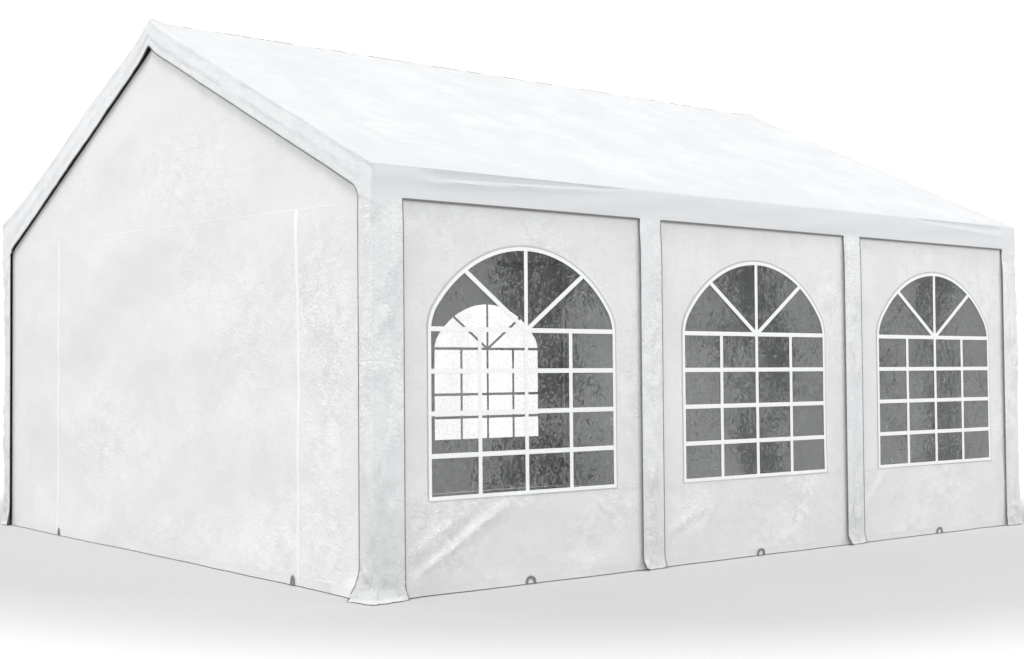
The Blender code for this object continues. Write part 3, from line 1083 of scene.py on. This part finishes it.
def side_crumple(u, z, side, number):
    """How strongly a side panel is crinkled at each point."""
    wide = waves(points_at(u, z, 0.0), panel_seed(side, number) + 40, 0.4, 1.2)
    seen = spots(-side * u, z, FRONT_PATCHES[number if side < 0 else 4 - number])
    # The crests of the raised folds are crumpled, so they also get whitened crests as painted glints
    if (side, number) == (-1, 1):
        seen += sum(crease_line(u, z, *fold[:2], 0.024, 1.2) for fold in FRONT_FOLDS if fold[3] > 0)
    return np.tanh(0.18 + 0.50 * smooth(0.0, 1.5, wide) + seen)


def gable_crumple(u, z, end):
    """How strongly a gable wall is crinkled at each point."""
    wide = waves(points_at(u, z, 0.0), 340 + end, 0.5, 1.4)
    return np.tanh(0.09 + 0.24 * smooth(0.0, 1.5, wide) + 0.8 * spots(u, z, GABLE_PATCHES))


def side_bulge(u, z, side, number):
    """How far a side panel stands out of its flat plane."""
    low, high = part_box(f"side_panel_front_{number}")
    middle, half, sill, crown = window_frame(number)
    seed = panel_seed(side, number)
    points = points_at(u, z, 0.0)
    from_edge = np.minimum(u - low.x, high.x - u)
    free = smooth(0.08, 0.30, from_edge) * smooth(VALANCE_FOOT - 0.02, VALANCE_FOOT - 0.30, z)
    across = smooth(half + 0.12, half - 0.02, np.abs(u - middle))
    upwards = smooth(sill - 0.10, sill + 0.06, z) * smooth(crown + 0.12, crown - 0.06, z)
    soft = 0.0045 * waves(points, seed, 0.5, 1.3) + 0.0012 * waves(points, seed + 1, 0.18, 0.42)
    crumple = 0.0060 * side_crumple(u, z, side, number) * creases(points, seed + 3, 0.062)
    hem = 0.004 * smooth(0.25, 0.0, z) * waves(points, seed + 4, 0.3, 0.8)
    folds = tension_folds(u, z, low.x, high.x, seed + 5)
    if (side, number) == (-1, 1):
        folds = 0.4 * folds + sum(crease_line(u, z, *fold) for fold in FRONT_FOLDS)
    left, right = opening_edges(number)
    tucked = WALL_TUCK * smooth(0.05, -0.01, np.minimum(u - left, right - u))
    taut = 1 - 0.85 * across * upwards
    return (soft + crumple + hem) * free * taut + folds * smooth(0.03, 0.10, from_edge) + tucked


def gable_bulge(u, z, end):
    """How far a gable wall stands out of its flat plane."""
    seed = 300 + (7 if end > 0 else 0)
    points = points_at(u, z, 0.0)
    below_roof = roof_height(u) - z
    free = smooth(0.14, 0.45, HALF_WIDTH - np.abs(u)) * smooth(TRIM_DROP, TRIM_DROP + 0.35, below_roof)
    soft = 0.006 * waves(points, seed, 0.6, 1.8) + 0.0016 * waves(points, seed + 1, 0.2, 0.5)
    crumple = 0.0055 * gable_crumple(u, z, end) * creases(points, seed + 3, 0.070)
    crumple *= smooth(0.01, 0.09, from_seams(u, z))
    hem = 0.005 * smooth(0.3, 0.0, z) * waves(points, seed + 4, 0.4, 1.0)
    flare = 0.036 * smooth(-2.05, -2.40, u) * smooth(0.20, 0.0, z) ** 2 * (end < 0)
    return (soft + crumple + hem) * free + flare


def door_seam_height(y):
    """Height of the slightly slanting seam over a door."""
    (start_y, start_z), (end_y, end_z) = DOOR_SEAM
    return start_z + (y - start_y) * (end_z - start_z) / (end_y - start_y)


def from_seams(u, z):
    """Distance of points of a gable from its zips and the seam over the door, which lie flat."""
    above_seam = z - door_seam_height(u)
    beside_zips = np.minimum(np.abs(u - DOOR_LOW.y), np.abs(u - DOOR_HIGH.y))
    return np.minimum(np.hypot(beside_zips, np.maximum(above_seam, 0)), np.abs(above_seam))


def hung_on(axis, way, plane, bulge):
    """Returns the function that puts flat points of a wall, raised by lift, in space."""

    def place(flat, lift=0.0):
        u, z = np.asarray(flat, float).T
        out = way * (plane + bulge(u, z) + lift)
        return points_at(out, u, z) if axis == "X" else points_at(u, out, z)

    return place


def side_place(side, number):
    return hung_on("Y", side, SIDE_WALL_Y, lambda u, z: side_bulge(u, z, side, number))


def gable_place(end):
    return hung_on("X", end, GABLE_WALL_X, lambda u, z: gable_bulge(u, z, end))


def window_frame(number):
    """Centre, half width, sill and crown of a window, from the frame."""
    low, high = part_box(f"window_front_{number}")
    return (low.x + high.x) / 2, (high.x - low.x) / 2, low.z, high.z


def window_arch(number, grow=0.0):
    """Radius and height of the centre of a window's arch."""
    _, half, _, crown = window_frame(number)
    rise = crown - WINDOW_SPRING
    radius = (half**2 + rise**2) / (2 * rise) + grow
    return radius, crown + grow - radius


def window_outline(number, grow=0.0):
    """A rectangle under a round arch, this much larger than the window's hole."""
    middle, half, sill, _ = window_frame(number)
    radius, centre = window_arch(number, grow)
    half += grow
    full = math.asin(half / radius)
    reach = full - SPRING_SOFTENING / radius
    angles = np.linspace(reach, -reach, ARCH_STEPS + 1)
    arch = np.stack([middle + radius * np.sin(angles), centre + radius * np.cos(angles)], 1)
    spring = centre + radius * math.cos(full)
    shares = np.linspace(0, 1, 6)[:-1, None]

    def softened(way, last):
        corner = np.array((middle + way * half, spring))
        first = corner - (0.0, SPRING_SOFTENING)
        return (1 - shares) ** 2 * first + 2 * shares * (1 - shares) * corner + shares**2 * last

    foot = [(middle - half, sill - grow), (middle + half, sill - grow)]
    return np.vstack([foot, softened(1, arch[0]), arch, softened(-1, arch[-1])[::-1]])


def window_bars(number):
    """The lines of a window's bars, as flat paths with the lift of each layer."""
    middle, half, sill, crown = window_frame(number)
    radius, centre = window_arch(number)
    row_lift, column_lift, fan_lift = BAR_LIFTS
    rows = np.linspace(sill - BORDER_WIDTH / 2, TRANSOM_HEIGHT, 5)[1:]
    paths = [(level(middle - half, middle + half, z), row_lift) for z in rows]
    for share, top in ((-0.5, TRANSOM_HEIGHT), (0.0, crown), (0.5, TRANSOM_HEIGHT)):
        x = middle + share * half
        paths.append((line((x, sill), (x, top)), column_lift))
    rise = TRANSOM_HEIGHT - centre
    reach = math.sqrt(radius**2 - (rise * math.cos(FAN_ANGLE)) ** 2) - rise * math.sin(FAN_ANGLE)
    for way in (-1, 1):
        tip = (middle + way * reach * math.cos(FAN_ANGLE), TRANSOM_HEIGHT + reach * math.sin(FAN_ANGLE))
        paths.append((line((middle, TRANSOM_HEIGHT), tip), fan_lift))
    return paths


def make_windows(film, tape, weld):
    for side_name, side, number in PANELS:
        label = f"{side_name}_{number}"
        place = side_place(side, number)
        middle, half, sill, crown = window_frame(number)
        flat, faces = cut_sheet(window_outline(number, FILM_OVERLAP), [], FILM_CELL)
        from_rim = np.clip(distance_to(flat, window_outline(number)) / FILM_FLAT_RIM, 0, 1)
        ripple = 0.5 + 0.5 * np.clip(waves(points_at(*flat.T, 0.0), 70 + number, 0.10, 0.32), -1, 1)
        hung = place(flat, -FILM_BEHIND - FILM_RIPPLE * ripple * from_rim)
        pane = make_piece(f"window_film_{label}", hung, faces, film, "film", FILM_THICKNESS)
        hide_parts(f"window_{label}")
        border = divided(window_outline(number, BORDER_OFFSET), RIM_CELL)
        shapes = [ribbon(path, BAR_WIDTH / 2, place, lift, BAR_THICKNESS)
                  for path, lift in window_bars(number)]
        shapes.append(ribbon(border, BORDER_WIDTH / 2, place, *WINDOW_BORDER, closed=True))
        bars = make_bands(f"window_bars_{label}", tape, *shapes)
        # The weld line is grey as partly painted shadow: widest on the arch, thin on the left upright,
        # wider on the right
        edge = divided(window_outline(number, WELD_OFFSET), RIM_CELL)
        in_arch = smooth(WINDOW_SPRING - 0.10, WINDOW_SPRING + 0.02, edge[:, 1])
        low_half = np.where(edge[:, 0] < middle, *WELD_HALF_LOW)
        half_widths = low_half + (WELD_HALF_ARCH - low_half) * in_arch
        shape = ribbon(edge, half_widths, place, *WINDOW_WELD, closed=True)
        seam = make_bands(f"window_weld_shade_{label}", weld, shape)


def make_side_walls(cloth, gap_shade):
    for side_name, side, number in PANELS:
        label = f"{side_name}_{number}"
        place = side_place(side, number)
        low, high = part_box(f"side_panel_{label}")
        middle, half, sill, crown = window_frame(number)
        outline = [(low.x, low.z), (high.x, low.z), (high.x, high.z), (low.x, high.z)]
        wall = hung_sheet(
            f"wall_sheet_{label}", f"side_panel_{label}", outline, [window_outline(number)], WALL_CELL,
            place, lambda u, z: side_crumple(u, z, side, number), cloth
        )
        path = level(low.x, high.x, low.z + SIDE_HEM_HALF)
        hem = make_bands(f"wall_hem_{label}", cloth, ribbon(path, SIDE_HEM_HALF, place, *SIDE_HEM))
        lines = ((low.x, middle - half - SILL_SEAM_GAP), (middle + half + SILL_SEAM_GAP, high.x))
        shapes = [ribbon(level(*ends, sill - SILL_SEAM_DROP), SILL_SEAM_HALF, place, *SILL_SEAM)
                  for ends in lines]
        seam = make_bands(f"wall_seam_{label}", cloth, *shapes)
        # A near-black strip behind the valance's edge: painted shade in the gap under it
        path = level(low.x + 0.01, high.x - 0.01, VALANCE_FOOT + GAP_SHADE_SIDE_RISE)
        shape = ribbon(path, GAP_SHADE_SIDE_HALF, place, *SIDE_GAP_SHADE)
        bound = make_bands(f"wall_gap_shade_{label}", gap_shade, shape)


def zip_coil(y, low_z, high_z, place):
    """The closed coils of a zip: a narrow raised strip with a groove at each pair of teeth."""
    path = line((y, low_z), (y, high_z), cell=ZIP_PITCH / 2)
    groove = np.arange(len(path)) % 2
    return ribbon(path, 0.0036 - 0.0006 * groove, place, 0.0006, 0.0010 - 0.0003 * groove)


def make_gables(cloth, tape, gap_shade):
    front = DOOR_LOW.y
    back = DOOR_HIGH.y
    seam_ends = [(y, door_seam_height(y)) for y in (front, back)]
    door_outline = [(front, HEM), (back, HEM), *seam_ends[::-1]]
    for end_name, end in ENDS:
        place = gable_place(end)
        low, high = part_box(f"gable_wall_{end_name}")
        outline = [(low.y, HEM), (front, HEM), *seam_ends, (back, HEM), (high.y, HEM)]
        outline += [(y, roof_height(y) - GABLE_ROOF_GAP) for y in (high.y, 0.0, low.y)]

        def hung(name, node, cut):
            return hung_sheet(
                f"{name}_{end_name}", f"{node}_{end_name}", cut, [], GABLE_CELL,
                place, lambda u, z: gable_crumple(u, z, end), cloth
            )

        wall = hung("gable_sheet", "gable_wall", outline)
        door = hung("door_sheet", "door", door_outline)
        for number, y, top in ((1, front, ZIP_TOP_FRONT), (2, back, door_seam_height(back))):
            path = line((y, HEM), (y, door_seam_height(y)))
            shape = ribbon(path, ZIP_TAPE_HALF, place, *ZIP_TAPE)
            make_bands(f"zip_tape_{end_name}_{number}", tape, shape)
            shape = zip_coil(y, HEM + ZIP_FOOT, top - ZIP_HEAD, place)
            make_bands(f"zip_coil_{end_name}_{number}", tape, shape)
        shape = ribbon(line(*DOOR_SEAM), DOOR_SEAM_HALF, place, *DOOR_SEAM_BAND)
        seam = make_bands(f"gable_seam_{end_name}", tape, shape)
        ends = (low.y, front, back, high.y)
        for number, (start, stop) in enumerate(zip(ends, ends[1:]), start=1):
            path = level(start + 0.001, stop - 0.001, HEM + GABLE_HEM_HALF)
            shape = ribbon(path, GABLE_HEM_HALF, place, *GABLE_HEM)
            make_bands(f"gable_hem_{end_name}_{number}", cloth, shape)
        # A near-black strip behind the gable trim's edge: painted shade in the gap
        path = gable_opening(GAP_SHADE_RAKE_HALF)
        upright = np.abs(path[:, 0]) > GABLE_INNER + GAP_SHADE_RAKE_HALF - 1e-6
        half_widths = np.where(upright, GAP_SHADE_UPRIGHT_HALF, GAP_SHADE_RAKE_HALF)
        shape = ribbon(path, half_widths, place, *GABLE_GAP_SHADE)
        bound = make_bands(f"gable_gap_shade_{end_name}", gap_shade, shape)


def tie_loop(u, half, rise, place):
    """A band of webbing that leaves the hem, arches over and comes back to it."""
    angles = np.linspace(0, math.pi, 13)
    foot = HEM + TIE_HALF_BAND
    arch = [(u + half * math.cos(a), foot + (rise - TIE_HALF_BAND) * math.sin(a)) for a in angles]
    return ribbon([(u + half, HEM), *arch, (u - half, HEM)], TIE_HALF_BAND, place, *TIE_BAND)


def make_ties(webbing):
    """Small webbing loops at the hem: one under each window and one at each zip."""
    for side_name, side, number in PANELS:
        loop = tie_loop(window_frame(number)[0] + SIDE_TIE_SHIFT, *SIDE_TIE, side_place(side, number))
        make_bands(f"tie_{side_name}_{number}", webbing, loop, slot="cover")
    for end_name, end in ENDS:
        for number, (edge, shift) in enumerate(zip((DOOR_LOW, DOOR_HIGH), GABLE_TIE_SHIFTS), start=1):
            loop = tie_loop(edge.y + shift, *GABLE_TIE, gable_place(end))
            make_bands(f"tie_{end_name}_{number}", webbing, loop, slot="cover")


# Frame, stage, light and camera


def finish_steel(steel):
    for name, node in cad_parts.items():
        if name.startswith(("leg_front", "leg_back", "rafter", "ridge", "eave")):
            for slot in node.material_slots:
                slot.material = steel


def hex_bolt(spot, ahead):
    """The head of a small hexagon bolt on a flange, standing on a spot and pointing ahead."""
    side = unit(np.cross(ahead, (1.0, 0.2, 0.1)))
    rises, radii = np.array(BOLT_OUTLINE).T
    return tube(spot + np.outer(rises, ahead), radii, side, np.cross(ahead, side))


def make_bolts(steel):
    """A bolt through each socket that holds a leg or a rafter, its head on the inner face."""
    leg_y = -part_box("eave_rail_front")[0].y - SOCKET_RADIUS
    drop = ROOF_TO_TUBE / PITCH_COS
    down = np.array((0.0, 0.0, -1.0))
    for side_name, side in SIDES:
        up_slope = np.array((0.0, -side * PITCH_COS, PITCH_SIN))
        under = np.array((0.0, -side * PITCH_SIN, -PITCH_COS))
        inwards = np.array((0.0, -side, 0.0))
        bolts = []
        for x in LEG_X:
            eave = np.array((x, side * leg_y, roof_height(leg_y) - drop))
            ridge = np.array((x, 0.0, RIDGE - drop))
            for joint, along, ahead in (
                (eave, down, inwards),
                (eave, up_slope, under),
                (ridge, -up_slope, under),
            ):
                bolts.append(hex_bolt(joint + BOLT_PLACE * along + SOCKET_RADIUS * ahead, ahead))
        make_bands(f"socket_bolts_{side_name}", steel, *bolts, slot="steel")


def make_stage():
    shape = bmesh.new()
    bmesh.ops.create_grid(shape, x_segments=1, y_segments=1, size=FLOOR_FADE[1] + 1.0)
    mesh = bpy.data.meshes.new("floor")
    shape.to_mesh(mesh)
    shape.free()
    mesh.materials.append(pale_floor())
    add_object("floor", mesh)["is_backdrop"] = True


def add_lamp(kind, name, power, heading, spot=(0.0, 0.0, 0.0), **looks):
    """A lamp at a spot that shines along a heading."""
    light = bpy.data.lights.new(name, kind)
    light.energy = power
    for key, value in looks.items():
        setattr(light, key, value)
    lamp = add_object(name, light)
    lamp.location = spot
    lamp.rotation_mode = "QUATERNION"
    lamp.rotation_quaternion = Vector(heading).to_track_quat("-Z", "Y")


def make_light():
    """Even studio light, a soft key from above, two weak lamps for the crinkles and a soft fill."""
    world = bpy.data.worlds.new("studio")
    bpy.context.scene.world = world
    world.use_nodes = True
    tree = world.node_tree
    ambient = tree.nodes["Background"]
    fill(ambient, {"Color": (0.975, 0.99, 1.0, 1.0), "Strength": 0.765})
    backdrop = add_node(tree, "Background", {"Color": (1.0, 1.0, 1.0, 1.0), "Strength": 1.25})
    seen = add_node(tree, "LightPath").outputs["Is Camera Ray"]
    mix = add_node(tree, "MixShader", {0: seen, 1: ambient.outputs[0], 2: backdrop.outputs[0]})
    fill(tree.nodes["World Output"], {"Surface": mix.outputs[0]})
    key_colour = (1.0, 0.99, 0.97)
    add_lamp("SUN", "key", 1.48, (0.38, 0.14, -0.91), angle=math.radians(20), color=key_colour)
    add_lamp("SUN", "glint_front", 0.50, (-0.62, 0.75, -0.22), angle=math.radians(10))
    add_lamp("SUN", "glint_gable", 0.30, (0.50, -0.85, -0.20), angle=math.radians(9))
    add_lamp("AREA", "fill_right", 22.0, (-4.3, 3.7, -1.1), spot=(6.2, -6.2, 2.6), size=3.0)


def make_camera():
    """The camera of the photograph, as a heading, a rise above level and a slight roll."""
    ahead = Vector((math.cos(CAMERA_HEADING), math.sin(CAMERA_HEADING), 0.0))
    forward = ahead * math.cos(CAMERA_RISE) + Vector((0.0, 0.0, math.sin(CAMERA_RISE)))
    right = forward.cross(Vector((0.0, 0.0, 1.0))).normalized()
    up = right.cross(forward)
    turned_right = right * math.cos(CAMERA_ROLL) + up * math.sin(CAMERA_ROLL)
    turned_up = up * math.cos(CAMERA_ROLL) - right * math.sin(CAMERA_ROLL)
    turn = Matrix((turned_right, turned_up, -forward)).transposed().to_4x4()
    data = bpy.data.cameras.new("camera")
    data.sensor_width = 36.0
    data.lens = CAMERA_LENS
    data.shift_x = CAMERA_SHIFT
    camera = add_object("camera", data)
    camera.matrix_world = Matrix.Translation(CAMERA_SPOT) @ turn
    bpy.context.scene.camera = camera


def main():
    # Heights and amounts of painted shade: under the eave on the cover, low on the side walls and high
    # on the gables; the last number is painted shade near the ground
    shades = ((0.832, 0.837, 0.848), (0.748, 0.753, 0.763))
    cover = coated_sheet("cover_sheet", *shades, 0.04, (2.15, 2.42, 0.75, 0.0), 0.42)
    shades = ((0.812, 0.812, 0.803), (0.755, 0.755, 0.745))
    cloth = coated_sheet("wall_sheet", *shades, 0.03, (0.0, 1.3, 0.8, 0.0), 0.12)
    shades = ((0.840, 0.840, 0.830), (0.795, 0.795, 0.785))
    gable_cloth = coated_sheet("gable_sheet", *shades, 0.03, (0.6, 2.6, 0.0, 0.8))
    tape = welded_white()
    gap_shade = dark_gap_shade()
    steel = galvanised()
    make_camera()
    make_light()
    make_stage()
    make_cover(cover, dark_welt_shade(), shaded_ridge_seam())
    make_side_walls(cloth, gap_shade)
    make_windows(window_film(), tape, weld_shade_line())
    make_gables(gable_cloth, tape, gap_shade)
    make_ties(dark_webbing())
    finish_steel(steel)
    make_bolts(steel)
    bpy.context.scene.view_settings.view_transform = "Standard"
    bpy.context.scene.view_settings.look = "None"


main()
bpy.context.view_layer.update()
boxes = [[list(corner) for corner in box] for box in (CAD_BOX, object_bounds())]
